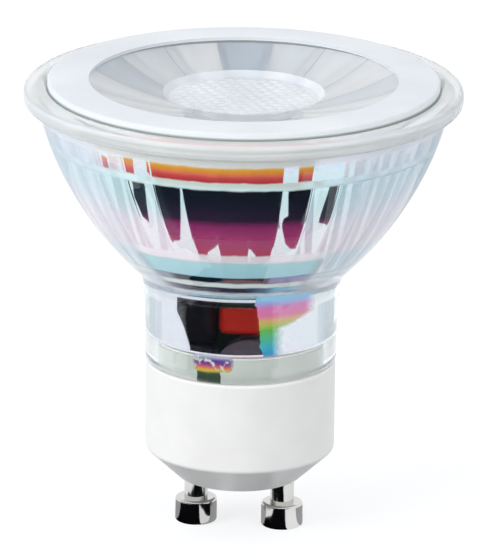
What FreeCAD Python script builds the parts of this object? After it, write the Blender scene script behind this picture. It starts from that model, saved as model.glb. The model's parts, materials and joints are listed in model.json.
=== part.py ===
import FreeCAD, Part
import math
import os

# GU10 spotlight bulb, in millimetres.
# The bulb's axis is Z, the pin heads stand on z = 0 and the optic looks along +Z.
# The two contact pins lie on the X axis. The driver board stands beside them, square to Y.

V = FreeCAD.Vector

# Contact pins
pin_spacing = 10.0
pin_head_diameter = 4.8
pin_head_height = 2.85
pin_neck_diameter = 2.75
pin_neck_length = 3.15
pin_edge_round = 0.3
pin_collar_diameter = 3.4
pin_collar_height = 0.6
pin_tail_diameter = 2.2
pin_tail_length = 3.0
pin_bore_diameter = 1.1
pin_bore_depth = 2.4

# Base cap
base_height = 13.9
base_floor = 1.8
base_bevel_height = 3.5
base_foot_margin = 0.7
base_foot_round = 0.6
base_bevel_round = 0.6
base_top_round = 0.3
base_inset = 0.1
spigot_height = 2.9
spigot_wall = 1.8
rib_height = 4.0
rib_thickness = 0.8
rib_reach = 1.0
rib_bite = 0.1
board_slot_gap = 0.1

# Driver board
board_thickness = 1.0
board_offset = 2.0
board_edge_margin = 1.6
board_clearance = 0.15
board_top_gap = 0.7

# Driver parts
part_gap = 0.7
part_foot_gap = 0.8
lead_wire_diameter = 0.5
lead_hole_gap = 0.1
lead_stub = 0.6
bulk_diameter = 5.0
bulk_length = 10.0
bulk_x = -4.2
bulk_rise = 13.6
bulk_board_gap = 0.1
bulk_lead_pitch = 2.0
bulk_lead_reach = 1.2
output_diameter = 5.0
output_length = 6.5
output_x = 0.0
output_lead_pitch = 2.0
can_groove_depth = 0.25
can_groove_height = 1.0
can_round = 0.35
inductor_diameter = 5.6
inductor_length = 6.0
inductor_x = 1.3
inductor_rise = 13.4
inductor_flange = 1.0
inductor_hub_diameter = 2.8
inductor_fill = 0.3
inductor_lead_pitch = 4.6
film_width = 4.0
film_height = 4.2
film_depth = 3.6
film_x = 0.4
film_rise = 18.5
film_lead_pitch = 3.0
film_round = 0.7
fuse_diameter = 2.0
fuse_length = 4.6
fuse_cap_length = 1.0
fuse_cap_rise = 0.12
fuse_x = -2.9
fuse_standoff = 0.2
fuse_lead_reach = 1.1
bridge_width = 4.0
bridge_height = 4.7
bridge_depth = 2.4
bridge_lead_pitch = 2.5
chip_width = 3.9
chip_height = 4.9
chip_depth = 1.5
chip_lead_pitch = 1.27
chip_x = -3.3
diode_width = 3.5
diode_height = 2.6
diode_depth = 1.3
diode_x = -3.2
package_lead_width = 0.5
package_lead_reach = 1.0
package_lead_thickness = 0.2
package_bevel = 0.2
chip_resistor_width = 1.25
chip_resistor_height = 0.5
chip_resistor_x = 4.6
chip_resistor_length = 2.0
chip_resistor_pitch = 2.6
chip_resistor_rows = 2

# Wires
wire_diameter = 0.9
wire_hole_gap = 0.1
wire_bend = 1.5
wire_stub = 0.4
pin_wire_rise = 0.3
led_wire_x = 4.5
led_wire_drop = 1.6

# Glass reflector
glass_height = 32.25
neck_wall = 2.05
neck_step = 0.55
band_wall = 1.5
band_height = 3.2
cement_gap = 0.25
cement_margin = 0.2
lip_round = 0.8
neck_flare = 0.3
shoulder_round = 4.0
reflector_arc_radius = 40.6
reflector_arc_rise = 8.25
reflector_wall = 2.2
rim_land = 2.5
rim_overhang = 1.4
rim_thickness = 1.75
rim_round = 0.6
rim_root_round = 0.5
flute_count = 36
flute_bulge = 0.17
ring_depth = 0.35
short_row_drop = 2.95
short_row_height = 2.1
row_spacing = 0.8
long_row_height = 12.0
long_row_section_count = 4

# Front optic
lens_diameter = 44.6
lens_gap = 0.2
lens_stand = 0.9
lens_ring_thickness = 2.25
lens_edge_round = 0.3
lens_opening_diameter = 35.2
lens_opening_step = 0.35
dish_depth = 0.65
tray_diameter = 17.6
tray_depth = 0.55
tray_draft = 0.6
lenslet_pitch = 1.35
lenslet_diameter = 1.2
lenslet_height = 0.14
lenslet_root = 0.05
optic_depth = 10.6
optic_shoulder = 1.2
optic_foot_diameter = 14.4
optic_bulge = 1.0
source_cavity_diameter = 11.2
source_cavity_depth = 3.6
source_cavity_draft = 0.4
source_dome = 1.6
seal_thickness = 0.2
seal_margin = 0.15

# Light source and heat spreader
optic_gap = 0.4
led_board_edge = 0.4
led_board_thickness = 1.2
led_dam_diameter = 10.4
led_dam_wall = 0.5
led_dam_height = 0.6
phosphor_height = 0.45
pad_thickness = 0.3
pad_margin = 0.4
plate_thickness = 1.5
spreader_wall = 0.8
spreader_drop = 3.4
spreader_gap = 0.2
screw_diameter = 2.0
screw_hole_gap = 0.1
screw_length = 3.4
screw_head_diameter = 3.4
screw_head_height = 1.0
screw_head_round = 0.4
screw_drive_width = 0.4
screw_drive_depth = 0.5
screw_optic_gap = 1.6
solder_diameter = 2.2
solder_height = 0.6
solder_optic_gap = 0.9

# Heights along the axis
base_bottom = pin_head_height + pin_neck_length
floor_top = base_bottom + base_floor
bevel_top = base_bottom + base_bevel_height
base_top = base_bottom + base_height
spigot_top = base_top + spigot_height
pin_top = floor_top + pin_tail_length
band_top = base_top + band_height
glass_top = base_top + glass_height
rim_bottom = glass_top - rim_thickness
lens_top = glass_top + lens_stand
lens_ring_bottom = lens_top - lens_ring_thickness
lens_seat = lens_ring_bottom - seal_thickness
optic_foot = lens_ring_bottom - optic_depth
led_board_top = optic_foot - optic_gap
led_board_bottom = led_board_top - led_board_thickness
plate_top = led_board_bottom - pad_thickness
plate_bottom = plate_top - plate_thickness
spreader_foot = plate_bottom - spreader_drop
board_top = plate_bottom - board_top_gap
led_wire_height = plate_bottom - led_wire_drop
short_row_top = glass_top - short_row_drop
short_row_bottom = short_row_top - short_row_height
long_row_top = short_row_bottom - row_spacing
long_row_bottom = long_row_top - long_row_height

# Radii from the driver board outwards
pin_x = pin_spacing / 2
pin_neck_radius = pin_neck_diameter / 2
wire_radius = wire_diameter / 2
wire_hole_radius = wire_radius + wire_hole_gap
board_half_width = pin_x + board_edge_margin
board_back = board_offset + board_thickness
well_radius = math.hypot(board_half_width, board_back) + board_clearance
spigot_radius = well_radius + spigot_wall
band_bore_radius = spigot_radius + cement_gap
band_radius = band_bore_radius + band_wall
base_radius = band_radius - base_inset
foot_radius = pin_x + pin_neck_radius + base_foot_margin
neck_bore_radius = band_bore_radius - neck_step
shoulder_radius = neck_bore_radius + neck_wall + neck_flare

# Radii from the optic outwards
lens_radius = lens_diameter / 2
pocket_radius = lens_radius + lens_gap
rim_radius = pocket_radius + rim_land
reflector_mouth_radius = rim_radius - rim_overhang

# Places round the optic's foot
optic_foot_radius = optic_foot_diameter / 2
screw_radius = optic_foot_radius + screw_optic_gap + screw_head_diameter / 2
led_board_radius = screw_radius + screw_head_diameter / 2 + led_board_edge
led_wire_radius = optic_foot_radius + solder_optic_gap + solder_diameter / 2
led_wire_y = math.sqrt(led_wire_radius ** 2 - led_wire_x ** 2)
led_wire_places = [(-led_wire_x, led_wire_y), (led_wire_x, led_wire_y)]
screw_places = [(-screw_radius, 0), (screw_radius, 0)]

# The reflector's outer curve is one arc, and its inner faces are arcs about the same centre
arc_centre_z = glass_top + reflector_arc_rise
arc_reach = math.sqrt(reflector_arc_radius ** 2 - (arc_centre_z - rim_bottom) ** 2)
arc_centre_r = reflector_mouth_radius - arc_reach
core_inset = reflector_wall + ring_depth


def reflector_radius(z, inset=0.0):
    """Radius of the reflector's curve at a height, moved into the glass by inset."""
    return arc_centre_r + math.sqrt((reflector_arc_radius - inset) ** 2 - (arc_centre_z - z) ** 2)


def reflector_height(r, inset=0.0):
    """Height at which the reflector's curve has a radius."""
    return arc_centre_z - math.sqrt((reflector_arc_radius - inset) ** 2 - (r - arc_centre_r) ** 2)


def reflector_point(z, inset=0.0):
    return (reflector_radius(z, inset), z)


mouth_radius = reflector_radius(short_row_top, reflector_wall)


def profile_vector(point):
    return V(point[0], 0, point[1])


def turned(*outline):
    """Solid turned about Z. A step is a point (r, z), or an arc's middle point and its end."""
    edges = []
    here = outline[0]
    for step in outline[1:] + outline[:1]:
        if isinstance(step[0], tuple):
            middle, end = step
            arc = Part.Arc(profile_vector(here), profile_vector(middle), profile_vector(end))
            edges.append(arc.toShape())
        else:
            end = step
            edges.append(Part.makeLine(profile_vector(here), profile_vector(end)))
        here = end
    return Part.Face(Part.Wire(edges)).revolve(V(0, 0, 0), V(0, 0, 1), 360)


def rounded(solid, radius, *rings):
    """The solid with the turned edges at these points (r, z) rounded."""
    edges = []
    for edge in solid.Edges:
        if not edge.Degenerated and isinstance(edge.Curve, Part.Circle):
            for r, z in rings:
                if abs(edge.Curve.Radius - r) < 1e-4 and abs(edge.Curve.Center.z - z) < 1e-4:
                    edges.append(edge)
    return solid.makeFillet(radius, edges).Solids[0]


def ring(inner_radius, outer_radius, bottom, top):
    return turned((inner_radius, bottom), (outer_radius, bottom), (outer_radius, top), (inner_radius, top))


def upright(radius, x, y, bottom, top):
    """Cylinder along Z."""
    return Part.makeCylinder(radius, top - bottom, V(x, y, bottom))


def across(radius, x, z, start, end):
    """Cylinder along Y, square to the driver board."""
    return Part.makeCylinder(radius, end - start, V(x, start, z), V(0, 1, 0))


def block(x, y, z, width, depth, height):
    """Box centred on x and z, standing from y towards +Y."""
    return Part.makeBox(width, depth, height, V(x - width / 2, y, z - height / 2))


def tube(path, radius):
    """Round wire along a path of straight runs and tangent arcs."""
    start = path.Edges[0].valueAt(path.Edges[0].FirstParameter)
    direction = path.Edges[0].tangentAt(path.Edges[0].FirstParameter)
    section = Part.Wire(Part.makeCircle(radius, start, direction))
    return path.makePipeShell([section], True, False)


def quarter_bend(corner, come_from, go_to, radius):
    """Arc of a right-angle turn at a corner, between two unit directions."""
    start = corner - come_from * radius
    end = corner + go_to * radius
    middle = corner + (go_to - come_from) * radius * (1 - math.sqrt(0.5))
    return Part.Arc(start, middle, end).toShape()


def bent_wire(start, corner, end):
    """Insulated wire with one right-angle bend."""
    come_from = (corner - start).normalize()
    go_to = (end - corner).normalize()
    bend = quarter_bend(corner, come_from, go_to, wire_bend)
    bend_start = corner - come_from * wire_bend
    bend_end = corner + go_to * wire_bend
    runs = [Part.makeLine(start, bend_start), bend, Part.makeLine(bend_end, end)]
    return tube(Part.Wire(runs), wire_radius)


# Glass reflector

def fluted_wire(z):
    """Section of a fluted row: cusps on the inner curve, and arcs bulging towards the axis between them."""
    step = 2 * math.pi / flute_count
    cusp = reflector_radius(z, reflector_wall)
    bulge = flute_bulge * cusp / reflector_radius(long_row_top, reflector_wall)
    crest = cusp * math.cos(step / 2) - bulge
    arcs = []
    for index in range(flute_count):
        first = index * step
        points = [(cusp, first), (crest, first + step / 2), (cusp, first + step)]
        arc = Part.Arc(*[V(r * math.cos(a), r * math.sin(a), z) for r, a in points])
        arcs.append(arc.toShape())
    return Part.Wire(arcs)


def fluted_row(bottom, top, sections):
    heights = [bottom + (top - bottom) * index / (sections - 1) for index in range(sections)]
    return Part.makeLoft([fluted_wire(z) for z in heights], True, False)


def glass_reflector():
    arc_foot = (shoulder_radius, reflector_height(shoulder_radius))
    mouth = reflector_point(rim_bottom)
    arc_middle = reflector_point((arc_foot[1] + rim_bottom) / 2)
    glass = turned(
        (0, base_top),
        (band_radius, base_top),
        (band_radius, band_top),
        arc_foot,
        (arc_middle, mouth),
        (rim_radius, rim_bottom),
        (rim_radius, glass_top),
        (0, glass_top),
    )
    glass = rounded(glass, lip_round, (band_radius, base_top))
    glass = rounded(glass, shoulder_round, arc_foot)
    glass = rounded(glass, rim_root_round, mouth)
    glass = rounded(glass, rim_round, (rim_radius, rim_bottom), (rim_radius, glass_top))
    core_foot = (neck_bore_radius, reflector_height(neck_bore_radius, core_inset))
    core_top = reflector_point(short_row_top, core_inset)
    core_middle = reflector_point((core_foot[1] + short_row_top) / 2, core_inset)
    core = turned(
        (0, base_top),
        (band_bore_radius, base_top),
        (band_bore_radius, band_top),
        (neck_bore_radius, band_top),
        core_foot,
        (core_middle, core_top),
        (mouth_radius, short_row_top),
        (mouth_radius, lens_seat),
        (pocket_radius, lens_seat),
        (pocket_radius, glass_top),
        (0, glass_top),
    )
    glass = glass.cut(core)
    glass = glass.cut(fluted_row(short_row_bottom, short_row_top, 2))
    return glass.cut(fluted_row(long_row_bottom, long_row_top, long_row_section_count))


# Front optic

def lenslet():
    """Low dome of the tray's honeycomb, standing on z = 0 with a short root below it."""
    radius = ((lenslet_diameter / 2) ** 2 + lenslet_height ** 2) / (2 * lenslet_height)
    centre = lenslet_height - radius
    root_angle = math.degrees(math.asin((-lenslet_root - centre) / radius))
    return Part.makeSphere(radius, V(0, 0, centre), V(0, 0, 1), root_angle, 90, 360)


def lenslets(reach):
    """Honeycomb of lenslets inside a reach from the axis."""
    row_pitch = lenslet_pitch * math.sqrt(3) / 2
    rows = math.ceil(reach / row_pitch)
    columns = math.ceil(reach / lenslet_pitch) + 1
    domes = []
    for row in range(-rows, rows + 1):
        for column in range(-columns, columns + 1):
            x = (column + row % 2 / 2) * lenslet_pitch
            y = row * row_pitch
            if math.hypot(x, y) + lenslet_pitch / 2 < reach:
                domes.append(lenslet().translated(V(x, y, 0)))
    return domes


def front_lens():
    opening_radius = lens_opening_diameter / 2
    tray_radius = tray_diameter / 2
    dish_top = lens_top - lens_opening_step
    tray_top = dish_top - dish_depth
    tray_floor = tray_top - tray_depth
    optic_top_radius = opening_radius + optic_shoulder
    cavity_foot_radius = source_cavity_diameter / 2
    cavity_top_radius = cavity_foot_radius - source_cavity_draft
    cavity_top = optic_foot + source_cavity_depth
    # The flank bulges out from the straight line between its ends by optic_bulge
    run = optic_top_radius - optic_foot_radius
    slant = math.hypot(run, optic_depth)
    flank_middle = (
        (optic_top_radius + optic_foot_radius) / 2 + optic_bulge * optic_depth / slant,
        (lens_ring_bottom + optic_foot) / 2 - optic_bulge * run / slant,
    )
    dome_radius = (cavity_top_radius ** 2 + source_dome ** 2) / (2 * source_dome)
    dome_centre = cavity_top + source_dome - dome_radius
    half_angle = math.asin(cavity_top_radius / dome_radius) / 2
    dome_middle = (dome_radius * math.sin(half_angle), dome_centre + dome_radius * math.cos(half_angle))
    lens = turned(
        (0, tray_floor),
        (tray_radius - tray_draft, tray_floor),
        (tray_radius, tray_top),
        (opening_radius, dish_top),
        (opening_radius, lens_top),
        (lens_radius, lens_top),
        (lens_radius, lens_ring_bottom),
        (optic_top_radius, lens_ring_bottom),
        (flank_middle, (optic_foot_radius, optic_foot)),
        (cavity_foot_radius, optic_foot),
        (cavity_top_radius, cavity_top),
        (dome_middle, (0, cavity_top + source_dome)),
    )
    lens = rounded(lens, lens_edge_round, (lens_radius, lens_top))
    domes = [dome.translated(V(0, 0, tray_floor)) for dome in lenslets(tray_radius - tray_draft)]
    return lens.fuse(domes).Solids[0]


def lens_seal():
    return ring(mouth_radius + seal_margin, lens_radius, lens_seat, lens_ring_bottom)


# Light source and heat spreader

def drilled(solid, screw_hole_radius, bottom, top):
    """The solid with the screw holes and the wire holes through it."""
    for x, y in screw_places:
        solid = solid.cut(upright(screw_hole_radius, x, y, bottom, top))
    for x, y in led_wire_places:
        solid = solid.cut(upright(wire_hole_radius, x, y, bottom, top))
    return solid


def heat_spreader():
    """Drawn aluminium dish: a plate for the board, and a skirt that follows the reflector's curve."""
    outer = core_inset + spreader_gap
    inner = outer + spreader_wall
    middle = plate_bottom - spreader_drop / 2
    dish = turned(
        (0, plate_bottom),
        reflector_point(plate_bottom, inner),
        (reflector_point(middle, inner), reflector_point(spreader_foot, inner)),
        reflector_point(spreader_foot, outer),
        (reflector_point(middle, outer), reflector_point(plate_bottom, outer)),
        (reflector_radius(plate_bottom, outer), plate_top),
        (0, plate_top),
    )
    return drilled(dish, screw_diameter / 2, plate_bottom, plate_top)


def thermal_pad():
    pad = upright(led_board_radius - pad_margin, 0, 0, plate_top, led_board_bottom)
    return drilled(pad, screw_diameter / 2 + screw_hole_gap, plate_top, led_board_bottom)


def led_board():
    board = upright(led_board_radius, 0, 0, led_board_bottom, led_board_top)
    return drilled(board, screw_diameter / 2 + screw_hole_gap, led_board_bottom, led_board_top)


def led_dam_ring():
    dam_radius = led_dam_diameter / 2
    return ring(dam_radius - led_dam_wall, dam_radius, led_board_top, led_board_top + led_dam_height)


def led_phosphor():
    radius = led_dam_diameter / 2 - led_dam_wall
    return upright(radius, 0, 0, led_board_top, led_board_top + phosphor_height)


def board_screws():
    head_radius = screw_head_diameter / 2
    shank_radius = screw_diameter / 2
    head_top = led_board_top + screw_head_height
    screw = turned(
        (0, led_board_top - screw_length),
        (shank_radius, led_board_top - screw_length),
        (shank_radius, led_board_top),
        (head_radius, led_board_top),
        (head_radius, head_top),
        (0, head_top),
    )
    screw = rounded(screw, screw_head_round, (head_radius, head_top))
    for width, depth in [(screw_diameter, screw_drive_width), (screw_drive_width, screw_diameter)]:
        corner = V(-width / 2, -depth / 2, head_top - screw_drive_depth)
        screw = screw.cut(Part.makeBox(width, depth, screw_drive_depth, corner))
    return Part.makeCompound([screw.translated(V(x, y, 0)) for x, y in screw_places])


def led_solder_joints():
    foot = solder_diameter / 2
    crown = led_board_top + solder_height
    waist = ((foot + wire_radius) / 2, led_board_top + solder_height / 4)
    joint = turned((wire_radius, led_board_top), (foot, led_board_top), (waist, (wire_radius, crown)))
    return Part.makeCompound([joint.translated(V(x, y, 0)) for x, y in led_wire_places])


def led_wire(x):
    start = V(x, board_offset - wire_stub, led_wire_height)
    corner = V(x, led_wire_y, led_wire_height)
    return bent_wire(start, corner, V(x, led_wire_y, led_board_top + solder_height))


# Driver board and its parts

pin_wire_height = pin_top + pin_wire_rise + wire_bend
lead_radius = lead_wire_diameter / 2
output_z = floor_top + part_foot_gap + output_diameter / 2
inductor_z = floor_top + inductor_rise
film_z = floor_top + film_rise
bulk_foot = floor_top + bulk_rise
bulk_y = board_offset - bulk_board_gap - bulk_diameter / 2
bulk_lead_z = bulk_foot - bulk_lead_reach
fuse_z = floor_top + part_foot_gap + fuse_lead_reach + fuse_length / 2
fuse_top = fuse_z + fuse_length / 2 + fuse_lead_reach
bridge_z = fuse_top + part_gap + bridge_height / 2
chip_z = bridge_z + (bridge_height + chip_height) / 2 + part_gap
diode_z = chip_z + (chip_height + diode_height) / 2 + part_gap
fuse_lead_offset = fuse_length / 2 + fuse_lead_reach - lead_radius
fuse_y = board_back + fuse_standoff + fuse_diameter / 2 + fuse_cap_rise


def lead_pair(x, z, pitch):
    """The places of two leads, one over the other."""
    return [(x, z - pitch / 2), (x, z + pitch / 2)]


bulk_leads = [(bulk_x + side * bulk_lead_pitch / 2, bulk_lead_z) for side in (-1, 1)]
inductor_leads = [(inductor_x + side * inductor_lead_pitch / 2, inductor_z) for side in (-1, 1)]
output_leads = lead_pair(output_x, output_z, output_lead_pitch)
film_leads = lead_pair(film_x, film_z, film_lead_pitch)
fuse_leads = lead_pair(fuse_x, fuse_z, 2 * fuse_lead_offset)


def driver_board():
    board = Part.makeBox(
        2 * board_half_width,
        board_thickness,
        board_top - floor_top,
        V(-board_half_width, board_offset, floor_top),
    )
    for x, z in bulk_leads + inductor_leads + output_leads + film_leads + fuse_leads:
        board = board.cut(across(lead_radius + lead_hole_gap, x, z, board_offset, board_back))
    wire_holes = [(x, pin_wire_height) for x in (-pin_x, pin_x)]
    wire_holes += [(x, led_wire_height) for x in (-led_wire_x, led_wire_x)]
    for x, z in wire_holes:
        board = board.cut(across(wire_hole_radius, x, z, board_offset, board_back))
    return board


def capacitor_can(diameter, length):
    """Sleeved aluminium can with a crimp groove near its foot, standing on z = 0."""
    radius = diameter / 2
    groove = radius - can_groove_depth
    can = turned(
        (0, 0),
        (radius, 0),
        (radius, can_groove_height),
        ((groove, can_groove_height * 1.5), (radius, can_groove_height * 2)),
        (radius, length),
        (0, length),
    )
    return rounded(can, can_round, (radius, length))


def board_mounted(solid, x, z):
    """The solid turned to stand on the front of the board, where +Z becomes -Y."""
    solid.rotate(V(0, 0, 0), V(1, 0, 0), 90)
    return solid.translated(V(x, board_offset, z))


def with_leads(solid, leads):
    """The solid with straight leads through the board."""
    for x, z in leads:
        solid = solid.fuse(across(lead_radius, x, z, board_offset, board_back + lead_stub))
    return solid.Solids[0]


def bent_lead(start, elbow, end):
    """Bare lead with one right-angle bend."""
    come_from = (elbow - start).normalize()
    go_to = (end - elbow).normalize()
    bend = quarter_bend(elbow, come_from, go_to, lead_wire_diameter)
    bend_start = elbow - come_from * lead_wire_diameter
    bend_end = elbow + go_to * lead_wire_diameter
    runs = [Part.makeLine(start, bend_start), bend, Part.makeLine(bend_end, end)]
    return tube(Part.Wire(runs), lead_radius)


def bulk_capacitor():
    """Can lying upright along the board, with its leads bent back into it."""
    can = capacitor_can(bulk_diameter, bulk_length).translated(V(bulk_x, bulk_y, bulk_foot))
    for x, z in bulk_leads:
        end = V(x, board_back + lead_stub, z)
        can = can.fuse(bent_lead(V(x, bulk_y, bulk_foot), V(x, bulk_y, z), end))
    return can.Solids[0]


def output_capacitor():
    can = board_mounted(capacitor_can(output_diameter, output_length), output_x, output_z)
    return with_leads(can, output_leads)


def inductor_core():
    """Ferrite drum with two flanges and its leads through the board."""
    radius = inductor_diameter / 2
    hub = inductor_hub_diameter / 2
    upper = inductor_length - inductor_flange
    drum = turned(
        (0, 0),
        (radius, 0),
        (radius, inductor_flange),
        (hub, inductor_flange),
        (hub, upper),
        (radius, upper),
        (radius, inductor_length),
        (0, inductor_length),
    )
    return with_leads(board_mounted(drum, inductor_x, inductor_z), inductor_leads)


def inductor_winding():
    outer = inductor_diameter / 2 - inductor_fill
    coil = ring(inductor_hub_diameter / 2, outer, inductor_flange, inductor_length - inductor_flange)
    return board_mounted(coil, inductor_x, inductor_z)


def film_capacitor():
    """Dipped block on the front of the board."""
    face = board_offset - film_depth
    body = block(film_x, face, film_z, film_width, film_depth, film_height)
    outer_edges = [edge for edge in body.Edges if edge.CenterOfMass.y < board_offset - film_depth / 4]
    return with_leads(body.makeFillet(film_round, outer_edges), film_leads)


def fuse_resistor():
    """Axial resistor standing off the back of the board, with both leads bent into it."""
    radius = fuse_diameter / 2
    half = fuse_length / 2
    cap = half - fuse_cap_length
    body = turned(
        (0, -half),
        (radius + fuse_cap_rise, -half),
        (radius + fuse_cap_rise, -cap),
        (radius, -cap),
        (radius, cap),
        (radius + fuse_cap_rise, cap),
        (radius + fuse_cap_rise, half),
        (0, half),
    ).translated(V(fuse_x, fuse_y, fuse_z))
    for side in (-1, 1):
        start = V(fuse_x, fuse_y, fuse_z + side * half)
        elbow = V(fuse_x, fuse_y, fuse_z + side * fuse_lead_offset)
        end = V(fuse_x, board_offset - lead_stub, elbow.z)
        body = body.fuse(bent_lead(start, elbow, end))
    return body.Solids[0]


def package(x, z, width, height, depth, leads_a_side, pitch=0.0):
    """Moulded surface-mount package with flat leads on both sides."""
    foot_gap = package_lead_thickness / 2
    body = block(x, board_back + foot_gap, z, width, depth - foot_gap, height)
    top_edges = [edge for edge in body.Edges if edge.CenterOfMass.y > board_back + depth - foot_gap]
    body = body.makeChamfer(package_bevel, top_edges)
    for index in range(leads_a_side):
        lead_z = z + (index - (leads_a_side - 1) / 2) * pitch
        span = width + 2 * package_lead_reach
        lead = block(x, board_back, lead_z, span, package_lead_thickness, package_lead_width)
        body = body.fuse(lead)
    return body.Solids[0]


def bridge_rectifier():
    return package(0, bridge_z, bridge_width, bridge_height, bridge_depth, 2, bridge_lead_pitch)


def driver_chip():
    return package(chip_x, chip_z, chip_width, chip_height, chip_depth, 4, chip_lead_pitch)


def freewheel_diode():
    return package(diode_x, diode_z, diode_width, diode_height, diode_depth, 1)


def chip_resistors():
    resistors = []
    size = (chip_resistor_width, chip_resistor_height, chip_resistor_length)
    for middle in (bridge_z, chip_z):
        for row in range(chip_resistor_rows):
            z = middle + (row - (chip_resistor_rows - 1) / 2) * chip_resistor_pitch
            resistors.append(block(chip_resistor_x, board_back, z, *size))
    return Part.makeCompound(resistors)


# Base, pins and the wires to them

def base_cap():
    cap = turned(
        (0, base_bottom),
        (foot_radius, base_bottom),
        (base_radius, bevel_top),
        (base_radius, base_top),
        (spigot_radius, base_top),
        (spigot_radius, spigot_top),
        (well_radius, spigot_top),
        (well_radius, floor_top),
        (0, floor_top),
    )
    cap = rounded(cap, base_foot_round, (foot_radius, base_bottom))
    cap = rounded(cap, base_bevel_round, (base_radius, bevel_top))
    cap = rounded(cap, base_top_round, (base_radius, base_top))
    well = upright(well_radius + rib_bite, 0, 0, floor_top, floor_top + rib_height)
    slots = [board_offset - board_slot_gap - rib_thickness, board_back + board_slot_gap]
    for side in (-1, 1):
        for y in slots:
            outer = math.sqrt(well_radius ** 2 - y ** 2)
            x = side * outer
            z = floor_top + rib_height / 2
            rib = block(x, y, z, 2 * rib_reach, rib_thickness, rib_height)
            cap = cap.fuse(rib.common(well))
        cap = cap.cut(upright(pin_neck_radius, side * pin_x, 0, base_bottom, floor_top))
    return cap.removeSplitter().Solids[0]


def base_cement():
    return ring(spigot_radius, band_bore_radius, base_top + cement_margin, spigot_top - cement_margin)


def contact_pin(x):
    """Turned pin: head, neck, peened collar on the base's floor and a bored tail for the wire."""
    head = pin_head_diameter / 2
    collar = pin_collar_diameter / 2
    tail = pin_tail_diameter / 2
    bore = pin_bore_diameter / 2
    collar_top = floor_top + pin_collar_height
    pin = turned(
        (0, 0),
        (head, 0),
        (head, pin_head_height),
        (pin_neck_radius, pin_head_height),
        (pin_neck_radius, floor_top),
        (collar, floor_top),
        (collar, collar_top),
        (tail, collar_top),
        (tail, pin_top),
        (bore, pin_top),
        (bore, pin_top - pin_bore_depth),
        (0, pin_top - pin_bore_depth),
    )
    pin = rounded(pin, pin_edge_round, (head, 0), (head, pin_head_height))
    return pin.translated(V(x, 0, 0))


def pin_wire(x):
    start = V(x, 0, pin_top - pin_bore_depth)
    corner = V(x, 0, pin_wire_height)
    return bent_wire(start, corner, V(x, board_back + wire_stub, pin_wire_height))


pieces = {
    "glass_reflector": glass_reflector(),
    "front_lens": front_lens(),
    "lens_seal": lens_seal(),
    "led_board": led_board(),
    "led_dam_ring": led_dam_ring(),
    "led_phosphor": led_phosphor(),
    "board_screws": board_screws(),
    "led_solder_joints": led_solder_joints(),
    "led_wire_positive": led_wire(led_wire_x),
    "led_wire_negative": led_wire(-led_wire_x),
    "thermal_pad": thermal_pad(),
    "heat_spreader": heat_spreader(),
    "driver_board": driver_board(),
    "bulk_capacitor": bulk_capacitor(),
    "output_capacitor": output_capacitor(),
    "inductor_core": inductor_core(),
    "inductor_winding": inductor_winding(),
    "film_capacitor": film_capacitor(),
    "fuse_resistor": fuse_resistor(),
    "bridge_rectifier": bridge_rectifier(),
    "driver_chip": driver_chip(),
    "freewheel_diode": freewheel_diode(),
    "chip_resistors": chip_resistors(),
    "live_wire": pin_wire(pin_x),
    "neutral_wire": pin_wire(-pin_x),
    "base_cap": base_cap(),
    "base_cement": base_cement(),
    "contact_pin_right": contact_pin(pin_x),
    "contact_pin_left": contact_pin(-pin_x),
}

os.makedirs("parts", exist_ok=True)
for name, shape in pieces.items():
    shape.exportStep("parts/" + name + ".step")
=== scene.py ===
import json
import math

import bpy
import numpy as np
from mathutils import Matrix, Vector


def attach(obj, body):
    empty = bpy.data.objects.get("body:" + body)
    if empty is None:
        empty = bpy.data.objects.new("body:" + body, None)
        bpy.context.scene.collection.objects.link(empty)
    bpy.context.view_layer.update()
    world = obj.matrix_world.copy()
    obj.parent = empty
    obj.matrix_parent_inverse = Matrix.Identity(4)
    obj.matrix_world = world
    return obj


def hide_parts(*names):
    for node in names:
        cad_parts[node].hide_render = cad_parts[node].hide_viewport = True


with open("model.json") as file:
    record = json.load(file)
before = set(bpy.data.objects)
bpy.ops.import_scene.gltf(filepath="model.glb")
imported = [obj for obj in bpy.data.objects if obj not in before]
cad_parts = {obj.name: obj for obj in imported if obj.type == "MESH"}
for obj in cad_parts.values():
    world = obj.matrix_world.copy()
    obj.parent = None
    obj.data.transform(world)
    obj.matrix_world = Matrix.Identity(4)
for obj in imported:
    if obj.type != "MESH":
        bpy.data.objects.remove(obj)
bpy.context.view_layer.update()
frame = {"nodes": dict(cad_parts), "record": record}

# GU10 spotlight bulb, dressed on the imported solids.
# Sizes are in millimetres here and become metres where a mesh is made.

MM = 0.001

# Glass body
FLUTES = 36
COLUMNS_A_FLUTE = 12
BAND_BORE = 9.45
BAND_RADIUS = 10.95
BAND_TOP = 23.1
GLASS_FOOT = 19.9
GLASS_TOP = 52.15
LIP_ROUND = 0.8
LIP_STEPS = 8
NECK_BORE = 8.9
SHOULDER_RADIUS = 11.25
SHOULDER_ROUND = 4.0
SHOULDER_STEPS = 12
ARC_RADIUS = 40.6
ARC_CENTRE_Z = 60.4
CONE_ABOVE_SHOULDER = 0.6
CONE_BELOW_RIM = 0.8
CONE_STEPS = 28
MOUTH_RADIUS = 23.6
RIM_RADIUS = 25.0
RIM_BOTTOM = 50.4
RIM_ROUND = 0.6
RIM_ROOT_ROUND = 0.5
WALL = 2.2
RING_DEPTH = 0.35
FLUTE_BULGE = 0.04
SHORT_ROW = (47.1, 49.2)
SHORT_ROW_STEPS = 4
LONG_ROW = (34.3, 46.3)
LONG_ROW_STEPS = 20
BORE_FOOT_STEPS = 8
POCKET_RADIUS = 22.5
LENS_SEAT = 50.6

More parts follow.
